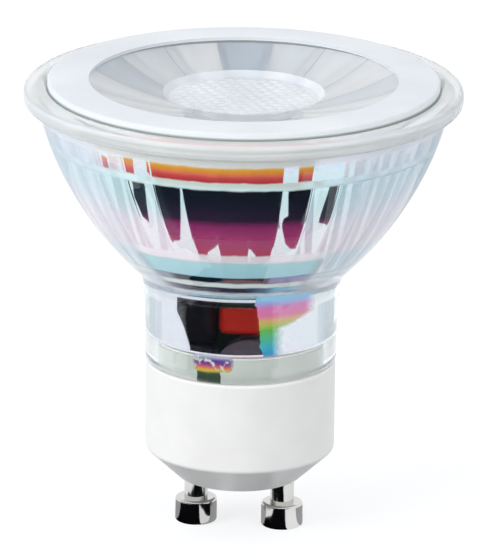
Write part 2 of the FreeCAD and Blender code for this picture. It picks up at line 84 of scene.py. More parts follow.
# Front optic
LENS_RADIUS = 22.3
LENS_TOP = 53.05
LENS_RING_BOTTOM = 50.8
LENS_ROUND = 0.3
RING_FOOT_PAINTED_SHADE = (52.24, 52.5)
RING_WALL_EDGE = (52.78, 52.95)
OPENING_RADIUS = 17.6
DISH_TOP = 52.7
TRAY_RADIUS = 9.2
TRAY_FLOOR_RADIUS = 8.5
TRAY_TOP = 51.5
TRAY_FLOOR = 50.85
TRAY_STEPS = 64
OPTIC_TOP_RADIUS = 18.8
OPTIC_FOOT_RADIUS = 7.2
OPTIC_FOOT = 40.2
OPTIC_BULGE = 1.0
FLANK_STEPS = 16
CAVITY_FOOT_RADIUS = 5.6
CAVITY_TOP_RADIUS = 5.2
CAVITY_TOP = 43.8
DOME_TOP = 45.4
DOME_STEPS = 8
LENSLET_PITCH = 1.35
LENSLET_DIAMETER = 1.2
LENSLET_HEIGHT = 0.14

# Camera, fitted to the photograph
CAMERA_DISTANCE = 900.0
CAMERA_AZIMUTH = 8.2
CAMERA_ELEVATION = 17.38
CAMERA_ROLL = 0.67
CAMERA_TARGET_HEIGHT = 27.0
CAMERA_CLIP = 10.0
FRAME_WIDTH = 487
FRAME_HEIGHT = 555
FOCAL_PIXELS = 7870
TARGET_PIXEL = (241.6, 298.0)
SENSOR = 36.0

# Studio light and floor. A lamp is (name, place, size, power).
WORLD_LIGHT = 0.84
FLOOR_SHADE = 0.34
FLOOR_TINT = (0.97, 1.0, 1.03)
FLOOR_GLOW = 0.7
FLOOR_REACH = 1500.0
SOFT_LAMPS = (
    ("key_softbox", (-420, -420, 280), 400, 2.1),
    ("fill_softbox", (450, -380, 220), 400, 0.7),
    ("top_softbox", (-120, 60, 600), 300, 0.25),
)

# Black flags on the floor, which mirrors show. A flag is a fan with edges (turn, inner radius, outer radius).
# Turns are in degrees from the camera's side, positive to the right.
CONE_FLAGS = (
    ((-59, 27, 36), (-58.5, 26.5, 46), (-57.5, 26, 72), (-52, 25.5, 72), (-46, 22, 72), (-38, 19.3, 72),
     (-25, 18.2, 72), (0, 17.4, 72), (27, 18, 72), (30, 20, 72), (33.5, 20.8, 72), (34, 20.8, 54),
     (41, 21.5, 54), (41.5, 21.7, 36.5), (46, 24, 35.5), (48, 30, 33)),
    ((-38, 9, 19.5), (26, 9, 18.2)),
    ((-74, 36, 55), (-67, 37.5, 55), (-61.5, 46, 55)),
    ((-64, 55, 72), (-57, 55, 72)),
    ((-84, 64, 72), (-78, 64, 72)),
    ((47, 51, 54), (49, 41, 54), (51, 31, 54), (53, 33, 54), (55, 33.8, 48), (61, 35, 36.5)),
)
NECK_FLAG = (
    (-92, 121, 420), (-85.5, 113, 420), (-80, 106, 420), (-75, 98.5, 420), (-70, 91, 420),
    (-62, 66, 420), (42, 66, 420))
PIN_X = 5.0
PIN_MATS = {
    "left": (-PIN_X, ((-84, 1.6, 11.5), (-50, 1.6, 11.5), (-30, 1.6, 14), (16, 1.6, 14))),
    "right": (PIN_X, ((-84, 1.6, 5.5), (-50, 1.6, 7), (-30, 1.6, 14), (16, 1.6, 14))),
}
FLAG_LIFT = 0.03
FAN_STEPS = 8

# A black screen that stands far out and carries on the neck's flag
SCREEN_RADIUS = 420.0
SCREEN_HEIGHTS = (0.2, 120.0)
SCREEN_TURNS = (-92.0, 42.0)
SCREEN_STEPS = 24

# Grey cards on the floor. A side's cards have one colour, and a neck card is (first turn, last turn, level).
SIDE_CARDS = {
    "right": ((0.56, 0.63, 0.68, 1.0), ((68, 79), (87, 98), (106, 119), (127, 180))),
    "left": ((0.74, 0.8, 0.83, 1.0), ((-100, -86), (-121, -109), (-150, -131))),
}
SIDE_CARD_REACH = (16, 84)
NECK_CARDS = (
    (116, 124, 0.9), (124, 132, 0.82), (132, 141, 0.74), (141, 180, 0.66),
    (-130, -122, 0.92), (-140, -130, 0.86), (-180, -140, 0.8))
NECK_CARD_REACH = (87, 135)
NECK_CARD_TINT = (0.95, 1.0, 1.03)
PIN_CARDS = (((-140, 1.6, 10), (-84, 1.6, 10)), ((72, 1.6, 10), (140, 1.6, 10)))
PIN_CARD_COLOUR = (0.4, 0.4, 0.42, 1.0)

WHITE = (1.0, 1.0, 1.0, 1.0)
BLACK = (0.0, 0.0, 0.0, 1.0)
SHARP_ANGLE = math.radians(20)


def tone(red, green, blue):
    """A colour on the 0 to 255 scale of a screen, as a shader wants it."""
    def linear(value):
        share = value / 255
        return share / 12.92 if share <= 0.04045 else ((share + 0.055) / 1.055) ** 2.4
    return (linear(red), linear(green), linear(blue), 1.0)


def tinted(level, tint):
    """A grey level with a cast."""
    return tuple(level * part for part in tint) + (1.0,)


def spaced(start, end, steps):
    return [start + (end - start) * step / steps for step in range(steps + 1)]


# Node trees

def place(tree, kind, inputs=None, **settings):
    """A shader node with its settings, and its inputs set or linked."""
    node = tree.nodes.new("ShaderNode" + kind)
    for name, value in settings.items():
        setattr(node, name, value)
    for name, value in (inputs or {}).items():
        if isinstance(value, bpy.types.NodeSocket):
            tree.links.new(value, node.inputs[name])
        else:
            node.inputs[name].default_value = value
    return node


def math_node(tree, operation, first, second=0.0, third=0.0):
    return place(tree, "Math", {0: first, 1: second, 2: third}, operation=operation).outputs[0]


def mapped(tree, value, source, target=(0.0, 1.0)):
    """A value carried from the source range to the target range, and held at its ends."""
    node = place(tree, "MapRange", {
        "Value": value,
        "From Min": source[0], "From Max": source[1],
        "To Min": target[0], "To Max": target[1],
    })
    return node.outputs["Result"]


def blend_colours(tree, share, first, second, **settings):
    """Two colours mixed by a share. Sockets 6 and 7 are the colours of the Mix node."""
    return place(tree, "Mix", {0: share, 6: first, 7: second}, data_type="RGBA", **settings).outputs[2]


def ramp_of(tree, factor, stops):
    """Colour ramp with stops of (position, colour)."""
    ramp = place(tree, "ValToRGB", {"Fac": factor})
    elements = ramp.color_ramp.elements
    while len(elements) < len(stops):
        elements.new(1.0)
    for element, (position, colour) in zip(elements, stops):
        element.position = position
        element.color = colour
    return ramp.outputs["Color"]


def object_place(tree):
    """The point on the piece, in metres."""
    return place(tree, "TexCoord").outputs["Object"]


def level_on(tree):
    """Height on the piece, in millimetres."""
    height = place(tree, "SeparateXYZ", {0: object_place(tree)}).outputs["Z"]
    return math_node(tree, "MULTIPLY", height, 1 / MM)


def noise_on(tree, scale, detail):
    """Soft noise over the piece."""
    node = place(tree, "TexNoise", {"Vector": object_place(tree), "Scale": scale, "Detail": detail})
    return node.outputs["Fac"]


def wander(tree, scale, reach):
    """Soft noise about zero, which makes an edge wander."""
    about_zero = math_node(tree, "SUBTRACT", noise_on(tree, scale, 2.0), 0.5)
    return math_node(tree, "MULTIPLY", about_zero, reach)


def bump_of(tree, height, strength, distance):
    bump = place(tree, "Bump", {"Height": height, "Strength": strength, "Distance": distance * MM})
    return bump.outputs["Normal"]


def new_finish(name):
    material = bpy.data.materials.new(name)
    material.use_nodes = True
    material.node_tree.nodes.clear()
    return material


def finish_with(material, shader):
    """Makes a shader the material's surface."""
    tree = material.node_tree
    output = place(tree, "OutputMaterial")
    tree.links.new(shader, output.inputs["Surface"])
    return material


def grain_group():
    """Fine moulded grain with faint handling marks: a height, and a share that shifts colour and gloss."""
    group = bpy.data.node_groups.new("moulded_grain", "ShaderNodeTree")
    for name, default in (("Fineness", 4000.0), ("Cloud", 150.0)):
        socket = group.interface.new_socket(name, in_out="INPUT", socket_type="NodeSocketFloat")
        socket.default_value = default
    for name in ("Height", "Cloud"):
        group.interface.new_socket(name, in_out="OUTPUT", socket_type="NodeSocketFloat")
    inputs = group.nodes.new("NodeGroupInput")
    outputs = group.nodes.new("NodeGroupOutput")
    fine = noise_on(group, inputs.outputs["Fineness"], 3.0)
    cloud = noise_on(group, inputs.outputs["Cloud"], 4.0)
    group.links.new(fine, outputs.inputs["Height"])
    group.links.new(cloud, outputs.inputs["Cloud"])
    return group


GRAIN = grain_group()
SOFT_NOISE = (0.3, 0.7)


def grain_on(tree, fineness, cloud):
    node = tree.nodes.new("ShaderNodeGroup")
    node.node_tree = GRAIN
    node.inputs["Fineness"].default_value = fineness
    node.inputs["Cloud"].default_value = cloud
    return node.outputs["Height"], node.outputs["Cloud"]


def between(tree, share, low, high):
    """A value from low to high as the share crosses the reach of soft noise."""
    return mapped(tree, share, SOFT_NOISE, (low, high))


def clouded(tree, share, dark, light):
    """Two near tones in soft clouds."""
    return blend_colours(tree, between(tree, share, 0.0, 1.0), dark, light)


# Finishes

def plain_finish(name, dark, light, roughness, metal=0.0, cloud=200.0, specular=0.5):
    """Moulded, drawn or painted surface: two near tones in soft clouds, fine grain and uneven gloss."""
    material = new_finish(name)
    tree = material.node_tree
    height, share = grain_on(tree, fineness=4000.0, cloud=cloud)
    shader = place(tree, "BsdfPrincipled", {
        "Base Color": clouded(tree, share, dark, light),
        "Roughness": between(tree, share, roughness * 0.85, roughness * 1.15),
        "Metallic": metal,
        "Specular IOR Level": specular,
        "Normal": bump_of(tree, height, strength=0.1, distance=0.02),
    })
    return finish_with(material, shader.outputs["BSDF"])


def lets_lamps_through(tree, shader, share):
    """Glass that lets a share of the lamps' light straight through, so that what it holds is lit."""
    clear = place(tree, "BsdfTransparent", {"Color": (share, share, share, 1.0)})
    lamp_ray = place(tree, "LightPath").outputs["Is Shadow Ray"]
    return place(tree, "MixShader", {0: lamp_ray, 1: shader, 2: clear.outputs["BSDF"]}).outputs["Shader"]


def clear_glass_finish():
    """Pressed clear glass with faint flow lines and a cool green cast."""
    material = new_finish("pressed_glass")
    tree = material.node_tree
    glass = place(tree, "BsdfPrincipled", {
        "Base Color": tone(250, 253, 252),
        "Roughness": 0.0,
        "IOR": 1.5,
        "Transmission Weight": 1.0,
        "Normal": bump_of(tree, noise_on(tree, 160.0, 1.0), strength=0.06, distance=0.2),
    })
    return finish_with(material, lets_lamps_through(tree, glass.outputs["BSDF"], 1.0))


def rim_glass_finish():
    """The rim's glass, milky from the press, with soft streaks along it."""
    material = new_finish("rim_glass")
    tree = material.node_tree
    height, share = grain_on(tree, fineness=900.0, cloud=120.0)
    glass = place(tree, "BsdfPrincipled", {
        "Base Color": clouded(tree, share, tone(238, 242, 244), tone(250, 252, 252)),
        "Roughness": between(tree, share, 0.05, 0.15),
        "IOR": 1.5,
        "Transmission Weight": 0.6,
        "Normal": bump_of(tree, height, strength=0.05, distance=0.1),
    })
    return finish_with(material, lets_lamps_through(tree, glass.outputs["BSDF"], 0.9))


def banded(tree, bands, wobble):
    """Colours in bands up the glass, with edges that wander by wobble mm. A band is (height, colour)."""
    level = math_node(tree, "ADD", level_on(tree), wander(tree, 450.0, 2 * wobble))
    glass_height = GLASS_TOP - GLASS_FOOT
    stops = [((z - GLASS_FOOT) / glass_height, colour) for z, colour in bands]
    return ramp_of(tree, mapped(tree, level, (GLASS_FOOT, GLASS_TOP)), stops)


# Painted light on the coat: what it lets through, painted as a matt glow, at the front and at the sides, and
# what its mirror looks like over a white room. At the front, the strong colours, pale rings of painted
# highlight and a black mirror low down are painted in place of the dark reflection and the light that the
# coat shows there
FRONT_PAINTED_GLOW = (
    (31.9, tone(228, 232, 236)),
    (32.2, tone(56, 52, 104)),
    (32.75, tone(62, 58, 118)),
    (32.9, tone(228, 240, 238)),
    (33.45, tone(228, 240, 238)),
    (33.6, tone(112, 76, 88)),
    (34.2, tone(70, 54, 76)),
    (34.35, tone(176, 226, 240)),
    (36.35, tone(184, 230, 236)),
    (36.55, tone(242, 234, 240)),
    (37.45, tone(242, 230, 236)),
    (37.65, tone(192, 68, 100)),
    (39.5, tone(178, 68, 116)),
    (41.4, tone(142, 46, 104)),
    (42.3, tone(30, 30, 50)),
    (46.1, tone(14, 24, 34)),
    (46.3, tone(220, 228, 222)),
    (47.1, tone(220, 228, 222)),
    (47.25, tone(186, 54, 56)),
    (47.9, tone(214, 84, 84)),
    (48.4, tone(232, 136, 54)),
    (48.9, tone(232, 172, 44)),
    (49.15, tone(232, 234, 232)),
)
SIDE_PAINTED_GLOW = (
    (31.6, tone(182, 188, 192)),
    (34.4, tone(168, 186, 196)),
    (36.4, tone(176, 188, 198)),
    (37.4, tone(198, 190, 200)),
    (41.0, tone(194, 190, 202)),
    (43.0, tone(174, 190, 200)),
    (46.2, tone(170, 188, 196)),
    (46.4, tone(206, 214, 216)),
    (47.1, tone(206, 214, 216)),
    (47.3, tone(184, 190, 202)),
    (48.9, tone(190, 196, 206)),
    (49.15, tone(224, 228, 228)),
)
SIDE_ROOM = (
    (34.2, tone(216, 221, 228)),
    (36.3, tone(204, 217, 227)),
    (37.6, tone(228, 219, 227)),
    (41.0, tone(224, 221, 231)),
    (44.0, tone(208, 222, 231)),
    (46.3, tone(204, 220, 230)),
    (49.2, tone(218, 221, 232)),
)
FRONT_PAINTED_ROOM = (
    (36.3, BLACK),
    (36.6, tone(236, 228, 234)),
    (41.0, tone(232, 230, 238)),
    (44.0, tone(206, 228, 234)),
    (46.3, tone(204, 228, 234)),
    (49.2, tone(228, 230, 240)),
)
PASSED_LIGHT = 0.8

# The middle of the coat's painted front, where its strong colours stand in for reflection and passed light,
# in degrees from the bulb's X axis, and their reach round it
COAT_FRONT = -82.0
PAINTED_FRONT_TURNS = (-44.0, 32.0)
PAINTED_FRONT_FADE = 8.0

# Two lines of painted reflection at the coat's foot, dark at the front and paler towards the sides, change
# colour along their length. A stop is (turn, colour).
LOW_PAINTED_LINE = (32.15, 32.8)
LOW_PAINTED_LINE_STOPS = (
    (-45.0, tone(120, 120, 160)),
    (-36.0, tone(26, 26, 62)),
    (2.0, tone(26, 30, 62)),
    (14.0, tone(60, 110, 150)),
    (20.0, tone(120, 196, 228)),
    (45.0, tone(190, 210, 236)),
)
HIGH_PAINTED_LINE = (33.6, 34.3)
HIGH_PAINTED_LINE_STOPS = (
    (-40.0, tone(150, 160, 180)),
    (-34.0, tone(20, 30, 46)),
    (-10.0, tone(26, 36, 52)),
    (-9.0, tone(112, 72, 76)),
    (14.0, tone(96, 66, 78)),
    (15.0, tone(150, 136, 190)),
    (40.0, tone(170, 160, 206)),
)
LINE_REACH = 60.0


def turn_from_front(tree, ragged):
    """Degrees round the axis from the middle of the coat's painted front, with edges that wander by ragged.
    """
    axes = place(tree, "SeparateXYZ", {0: object_place(tree)}).outputs
    turn = math_node(tree, "DEGREES", math_node(tree, "ARCTAN2", axes["Y"], axes["X"]))
    turn = math_node(tree, "WRAP", math_node(tree, "SUBTRACT", turn, COAT_FRONT), 180.0, -180.0)
    return math_node(tree, "ADD", turn, wander(tree, 900.0, ragged))


def within(tree, turn, turns, soft):
    """1 from the first turn to the last, falling to 0 over soft degrees outside them."""
    first, last = turns
    rise = mapped(tree, turn, (first - soft, first))
    fall = mapped(tree, turn, (last + soft, last))
    return math_node(tree, "MULTIPLY", rise, fall)


def with_painted_line(tree, colours, turn, line, stops):
    """The colours with one line of painted reflection laid over them."""
    level = level_on(tree)
    above = math_node(tree, "GREATER_THAN", level, line[0])
    below = math_node(tree, "LESS_THAN", level, line[1])
    along = mapped(tree, turn, (-LINE_REACH, LINE_REACH))
    line_colour = ramp_of(tree, along, [
        ((degrees + LINE_REACH) / (2 * LINE_REACH), colour) for degrees, colour in stops])
    return blend_colours(tree, math_node(tree, "MULTIPLY", above, below), colours, line_colour)


def cone_coat_finish():
    """Dichroic mirror coat on the fluted cone: it returns what it doesn't let through. What it lets through
    is painted as a matt glow, and its front carries painted reflection and light.
    """
    material = new_finish("cone_coat")
    tree = material.node_tree
    turn = turn_from_front(tree, ragged=4.0)
    # Painted light: the strong colours are painted on the front only, where the coat shows reflection and the
    # light it lets through
    front = within(tree, turn, PAINTED_FRONT_TURNS, PAINTED_FRONT_FADE)
    strong = banded(tree, FRONT_PAINTED_GLOW, wobble=0.2)
    # Painted reflection: two lines at the coat's foot, dark where the shoulder mirrors dark
    strong = with_painted_line(tree, strong, turn, LOW_PAINTED_LINE, LOW_PAINTED_LINE_STOPS)
    strong = with_painted_line(tree, strong, turn, HIGH_PAINTED_LINE, HIGH_PAINTED_LINE_STOPS)
    painted_glow_colour = blend_colours(tree, front, banded(tree, SIDE_PAINTED_GLOW, wobble=0.1), strong)
    room = blend_colours(
        tree, front, banded(tree, SIDE_ROOM, wobble=0.1), banded(tree, FRONT_PAINTED_ROOM, wobble=0.1))
    mirror = place(tree, "BsdfPrincipled", {
        "Base Color": blend_colours(
            tree, PASSED_LIGHT, room, painted_glow_colour, blend_type="SUBTRACT", clamp_result=True),
        "Metallic": 1.0,
        "Roughness": 0.03,
        "Specular Tint": (0.35, 0.36, 0.38, 1.0),
    })
    # Painted light: a matt glow in the colours the coat lets through, in place of light from inside
    glow = place(tree, "BsdfPrincipled", {
        "Base Color": painted_glow_colour, "Roughness": 1.0, "Specular IOR Level": 0.0})
    outside = place(tree, "AddShader", {0: mirror.outputs["BSDF"], 1: glow.outputs["BSDF"]})
    inside = place(tree, "BsdfPrincipled", {
        "Base Color": tone(240, 243, 246), "Metallic": 0.5, "Roughness": 0.1})
    side = place(tree, "NewGeometry").outputs["Backfacing"]
    shader = place(tree, "MixShader", {0: side, 1: inside.outputs["BSDF"], 2: outside.outputs["Shader"]})
    return finish_with(material, lets_lamps_through(tree, shader.outputs["Shader"], 0.8))


# The coat's rainbow where it thins out to the right of the front.
# Its edges are turns from the front, which shift between the two heights of a rise.
RAINBOW_BANDS = (
    (23.3, tone(66, 165, 216)),
    (24.2, tone(76, 186, 196)),
    (25.2, tone(95, 192, 150)),
    (26.1, tone(104, 192, 90)),
    (26.6, tone(176, 198, 92)),
    (27.2, tone(224, 178, 120)),
    (27.8, tone(230, 128, 172)),
    (29.0, tone(226, 134, 194)),
    (29.5, tone(186, 168, 224)),
    (29.9, tone(160, 186, 234)),
    (30.6, tone(140, 204, 236)),
)
RAINBOW_LEFT = (15.0, 10.0)
RAINBOW_LEFT_RISE = (23.5, 30.0)
RAINBOW_RIGHT = (28.0, 54.0)
RAINBOW_RIGHT_RISE = (26.2, 27.6)
RAINBOW_FADE = (-3.0, 6.0)


def rainbow_share(tree):
    """1 on the rainbow's part of the neck, with a ragged edge."""
    turn = turn_from_front(tree, ragged=7.0)
    level = level_on(tree)
    left = mapped(tree, level, RAINBOW_LEFT_RISE, RAINBOW_LEFT)
    right = mapped(tree, level, RAINBOW_RIGHT_RISE, RAINBOW_RIGHT)
    after = math_node(tree, "GREATER_THAN", turn, left)
    before = mapped(tree, math_node(tree, "SUBTRACT", right, turn), RAINBOW_FADE)
    return math_node(tree, "MULTIPLY", after, before)


def neck_coat_finish():
    """The same coat on the neck: a thin mirror with the driver showing through it."""
    material = new_finish("neck_coat")
    tree = material.node_tree
    rainbow = rainbow_share(tree)
    mirror = place(tree, "BsdfPrincipled", {
        "Base Color": blend_colours(tree, rainbow, tone(220, 222, 232), tone(70, 70, 78)),
        "Metallic": 1.0,
        "Roughness": 0.03,
    })
    glow = place(tree, "BsdfPrincipled", {
        "Base Color": blend_colours(tree, rainbow, BLACK, banded(tree, RAINBOW_BANDS, wobble=0.2)),
        "Roughness": 1.0,
        "Specular IOR Level": 0.0,
    })
    clear = place(tree, "BsdfTransparent", {
        "Color": blend_colours(tree, rainbow, (0.68, 0.66, 0.68, 1.0), (0.04, 0.04, 0.04, 1.0))})
    coat = place(tree, "AddShader", {0: mirror.outputs["BSDF"], 1: glow.outputs["BSDF"]})
    shader = place(tree, "AddShader", {0: coat.outputs["Shader"], 1: clear.outputs["BSDF"]})
    return finish_with(material, lets_lamps_through(tree, shader.outputs["Shader"], 1.0))


# A painted streak on the clear band: a green foot painted in place of the green board seen through the glass,
# and a painted glint of ragged colours above the edge level
PAINTED_STREAK_BANDS = (
    (20.0, tone(54, 74, 60)),
    (21.0, tone(60, 82, 64)),
    (21.25, tone(214, 196, 60)),
    (21.6, tone(222, 120, 90)),
    (22.0, tone(150, 60, 140)),
    (22.5, tone(70, 60, 150)),
    (22.9, tone(190, 190, 215)),
)
PAINTED_STREAK_EDGE = 21.2
PAINTED_STREAK_FOOT_TURNS = (-29.0, -14.0)
PAINTED_STREAK_FOOT_FADE = 0.5
PAINTED_STREAK_TOP_TURNS = (-29.0, -8.0)
PAINTED_STREAK_TOP_FADE = 4.0
PAINTED_STREAK_GAPS = 0.42


def painted_streak_share(tree):
    """1 on the painted streak, with gaps in its upper part."""
    turn = turn_from_front(tree, ragged=6.0)
    level = level_on(tree)
    foot = within(tree, turn, PAINTED_STREAK_FOOT_TURNS, PAINTED_STREAK_FOOT_FADE)
    foot = math_node(tree, "MULTIPLY", foot, math_node(tree, "LESS_THAN", level, PAINTED_STREAK_EDGE))
    top = within(tree, turn, PAINTED_STREAK_TOP_TURNS, PAINTED_STREAK_TOP_FADE)
    top = math_node(tree, "MULTIPLY", top, math_node(tree, "GREATER_THAN", level, PAINTED_STREAK_EDGE))
    kept = math_node(tree, "GREATER_THAN", noise_on(tree, 1400.0, 3.0), PAINTED_STREAK_GAPS)
    return math_node(tree, "MAXIMUM", foot, math_node(tree, "MULTIPLY", top, kept))


def band_glass_finish():
    """The clear band's inner face, with a painted streak: the green board seen through the glass, and a glint
    above it.
    """
    material = new_finish("band_glass")
    tree = material.node_tree
    glass = place(tree, "BsdfPrincipled", {
        "Base Color": tone(250, 253, 252), "Roughness": 0.0, "IOR": 1.5, "Transmission Weight": 1.0})
    streak = place(tree, "BsdfPrincipled", {
        # Painted reflection: the streak stands in for the board seen through the glass and a glint above it
        "Base Color": banded(tree, PAINTED_STREAK_BANDS, wobble=0.2), "Roughness": 0.4})
    shader = place(tree, "MixShader", {
        0: painted_streak_share(tree), 1: glass.outputs["BSDF"], 2: streak.outputs["BSDF"]})
    return finish_with(material, lets_lamps_through(tree, shader.outputs["Shader"], 1.0))


def clear_acrylic_finish():
    """Clear moulded acrylic with the faintest flow lines."""
    material = new_finish("clear_acrylic")
    tree = material.node_tree
    acrylic = place(tree, "BsdfPrincipled", {
        "Base Color": tone(250, 252, 254),
        "Roughness": 0.0,
        "IOR": 1.49,
        "Transmission Weight": 0.86,
        "Normal": bump_of(tree, noise_on(tree, 220.0, 1.0), strength=0.05, distance=0.2),
    })
    return finish_with(material, lets_lamps_through(tree, acrylic.outputs["BSDF"], 1.0))


def frosted_acrylic_finish():
    """Acrylic with an etched top and a paler wall, which has a painted shade line where its foot meets the
    glass.
    """
    material = new_finish("frosted_acrylic")
    tree = material.node_tree
    height, share = grain_on(tree, fineness=6000.0, cloud=90.0)
    level = level_on(tree)
    ring = clouded(tree, share, tone(211, 217, 224), tone(224, 229, 234))
    ring = blend_colours(tree, mapped(tree, level, RING_WALL_EDGE), tone(228, 233, 237), ring)
    # Painted shade: a dark line in the gap where the ring's foot meets the glass
    ring = blend_colours(tree, mapped(tree, level, RING_FOOT_PAINTED_SHADE), tone(146, 154, 150), ring)
    shader = place(tree, "BsdfPrincipled", {
        "Base Color": ring,
        "Roughness": between(tree, share, 0.4, 0.55),
        "Normal": bump_of(tree, height, strength=0.15, distance=0.02),
        "Subsurface Weight": 0.1,
        "Subsurface Scale": 0.3 * MM,
    })
    return finish_with(material, shader.outputs["BSDF"])


# Facets round the optic's flank, painted in different shades that stand in for reflection. A facet's painted
# shade is drawn by its number times FACET_DRAW.
FLANK_FACETS = 18
FACET_EDGE = 0.488
FACET_EDGE_TONE = tone(196, 206, 214)
FACET_RELIEF = 4.0
FACET_DRAW = 0.7003
FACET_PAINTED_SHADES = (
    (0.0, tone(176, 194, 211)),
    (0.2, tone(222, 231, 239)),
    (0.45, tone(246, 249, 252)),
    (1.0, WHITE),
)
LAST_FACET = FLANK_FACETS - 0.01


def flank_acrylic_finish():
    """The optic's flank: milky, a little mirror-bright, with broad facets round it in painted shades of
    reflection, darkest at the back.
    """
    material = new_finish("flank_acrylic")
    tree = material.node_tree
    count = math_node(tree, "MULTIPLY", turn_from_front(tree, ragged=0.0), FLANK_FACETS / 360)
    count = math_node(tree, "ADD", count, 0.5)
    across = math_node(tree, "SUBTRACT", math_node(tree, "FRACT", count), 0.5)
    swell = math_node(tree, "MULTIPLY", across, across)
    number = math_node(tree, "FLOOR", math_node(tree, "WRAP", count, LAST_FACET, 0.0))
    drawn = math_node(tree, "MULTIPLY", math_node(tree, "ADD", number, 1.0), FACET_DRAW)
    # Painted reflection: each facet's tint, with the darkest facet at the back
    tint = ramp_of(tree, math_node(tree, "FRACT", drawn), FACET_PAINTED_SHADES)
    edge = math_node(tree, "GREATER_THAN", math_node(tree, "ABSOLUTE", across), FACET_EDGE)
    shader = place(tree, "BsdfPrincipled", {
        "Base Color": blend_colours(tree, edge, tint, FACET_EDGE_TONE),
        "Roughness": 0.03,
        "IOR": 1.49,
        "Metallic": 0.2,
        "Transmission Weight": 0.0,
        "Normal": bump_of(tree, swell, strength=1.0, distance=FACET_RELIEF),
    })
    return finish_with(material, lets_lamps_through(tree, shader.outputs["BSDF"], 0.9))


def lenslet_acrylic_finish():
    """The tray's acrylic: half clear, half milky, so that the small domes read softly."""
    material = new_finish("lenslet_acrylic")
    tree = material.node_tree
    height, share = grain_on(tree, fineness=5000.0, cloud=250.0)
    shader = place(tree, "BsdfPrincipled", {
        "Base Color": clouded(tree, share, tone(232, 237, 243), tone(243, 246, 250)),
        "Roughness": between(tree, share, 0.12, 0.2),
        "IOR": 1.49,
        "Transmission Weight": 0.4,
        "Normal": bump_of(tree, height, strength=0.05, distance=0.02),
    })
    return finish_with(material, lets_lamps_through(tree, shader.outputs["BSDF"], 0.8))


# Meshes turned about the bulb's axis

COLUMNS = FLUTES * COLUMNS_A_FLUTE
ANGLES = np.arange(COLUMNS) * 2 * math.pi / COLUMNS
ON_AXIS = 1e-9


def turned_piece(name, rows, finishes, closed):
    """Piece made of rings of points.

    A row is (radius or radii, height or heights, finish of the faces after it).
    """
    points = []
    rings = []
    for radius, height, finish in rows:
        if np.max(radius) < ON_AXIS:
            rings.append([len(points)] * COLUMNS)
            points.append((0.0, 0.0, float(np.mean(height))))
        else:
            rings.append(list(range(len(points), len(points) + COLUMNS)))
            ring = np.broadcast_to(radius, COLUMNS)
            heights = np.broadcast_to(height, COLUMNS)
            points += list(zip(ring * np.cos(ANGLES), ring * np.sin(ANGLES), heights))
    pairs = list(zip(rows, rings, rings[1:]))
    if closed:
        pairs.append((rows[-1], rings[-1], rings[0]))
    faces = []
    face_finish = []
    for row, lower, upper in pairs:
        for column in range(COLUMNS):
            after = (column + 1) % COLUMNS
            corners = [lower[column], lower[after], upper[after], upper[column]]
            faces.append(list(dict.fromkeys(corners)))
            face_finish.append(row[2])
    mesh = bpy.data.meshes.new(name)
    mesh.from_pydata([tuple(MM * value for value in point) for point in points], [], faces)
    for finish in finishes:
        mesh.materials.append(finish)
    mesh.polygons.foreach_set("material_index", face_finish)
    mesh.polygons.foreach_set("use_smooth", [True] * len(faces))
    mesh.set_sharp_from_angle(angle=SHARP_ANGLE)
    mesh.update()
    piece = bpy.data.objects.new(name, mesh)
    bpy.context.scene.collection.objects.link(piece)
    return piece


def round_corner(before, corner, after, radius, steps=6):
    """Points of a tangent arc in place of a corner."""
    start, middle, end = Vector(before), Vector(corner), Vector(after)
    inward = (start - middle).normalized()
    outward = (end - middle).normalized()
    half = inward.angle(outward) / 2
    reach = radius / math.tan(half)
    centre = middle + (inward + outward).normalized() * radius / math.sin(half)
    first = middle + inward * reach - centre
    last = middle + outward * reach - centre
    turn = first.angle_signed(last)
    arc = []
    for step in range(steps + 1):
        angle = -turn * step / steps
        arc.append((
            centre.x + first.x * math.cos(angle) - first.y * math.sin(angle),
            centre.y + first.x * math.sin(angle) + first.y * math.cos(angle),
        ))
    return arc


# Glass body

CLEAR, CONE_COAT, NECK_COAT, RIM_GLASS, BAND_GLASS = range(5)
ARC_CENTRE_R = MOUTH_RADIUS - math.sqrt(ARC_RADIUS ** 2 - (ARC_CENTRE_Z - RIM_BOTTOM) ** 2)
ARC_CHORD = 1.0


def cone_radius(z, inset=0.0):
    return ARC_CENTRE_R + math.sqrt((ARC_RADIUS - inset) ** 2 - (ARC_CENTRE_Z - z) ** 2)


def cone_height(r, inset=0.0):
    return ARC_CENTRE_Z - math.sqrt((ARC_RADIUS - inset) ** 2 - (r - ARC_CENTRE_R) ** 2)


def flute_radii(z):
    """Radii round one ring of flutes: cusps on the cone, and a low swell towards the axis between them."""
    cusp = cone_radius(z, WALL)
    bulge = FLUTE_BULGE * cusp / cone_radius(LONG_ROW[1], WALL)
    crest = cusp * math.cos(math.pi / FLUTES) - bulge
    across = np.abs((np.arange(COLUMNS) % COLUMNS_A_FLUTE) / COLUMNS_A_FLUTE * 2 - 1)
    return crest + (cusp - crest) * across ** 2


def glass_outside():
    """Outline up the outside: the band, the shoulder and the cone."""
    foot = (BAND_BORE, GLASS_FOOT)
    band_low = (BAND_RADIUS, GLASS_FOOT)
    band_high = (BAND_RADIUS, BAND_TOP)
    arc_foot = (SHOULDER_RADIUS, cone_height(SHOULDER_RADIUS))
    arc_next = (cone_radius(arc_foot[1] + ARC_CHORD), arc_foot[1] + ARC_CHORD)
    shoulder = round_corner(band_high, arc_foot, arc_next, SHOULDER_ROUND, SHOULDER_STEPS)
    cone_foot = shoulder[-1][1] + CONE_ABOVE_SHOULDER
    cone = [(cone_radius(z), z) for z in spaced(cone_foot, RIM_BOTTOM - CONE_BELOW_RIM, CONE_STEPS)]
    lip = round_corner(foot, band_low, band_high, LIP_ROUND, LIP_STEPS)
    return [foot] + lip + [band_high] + shoulder + cone


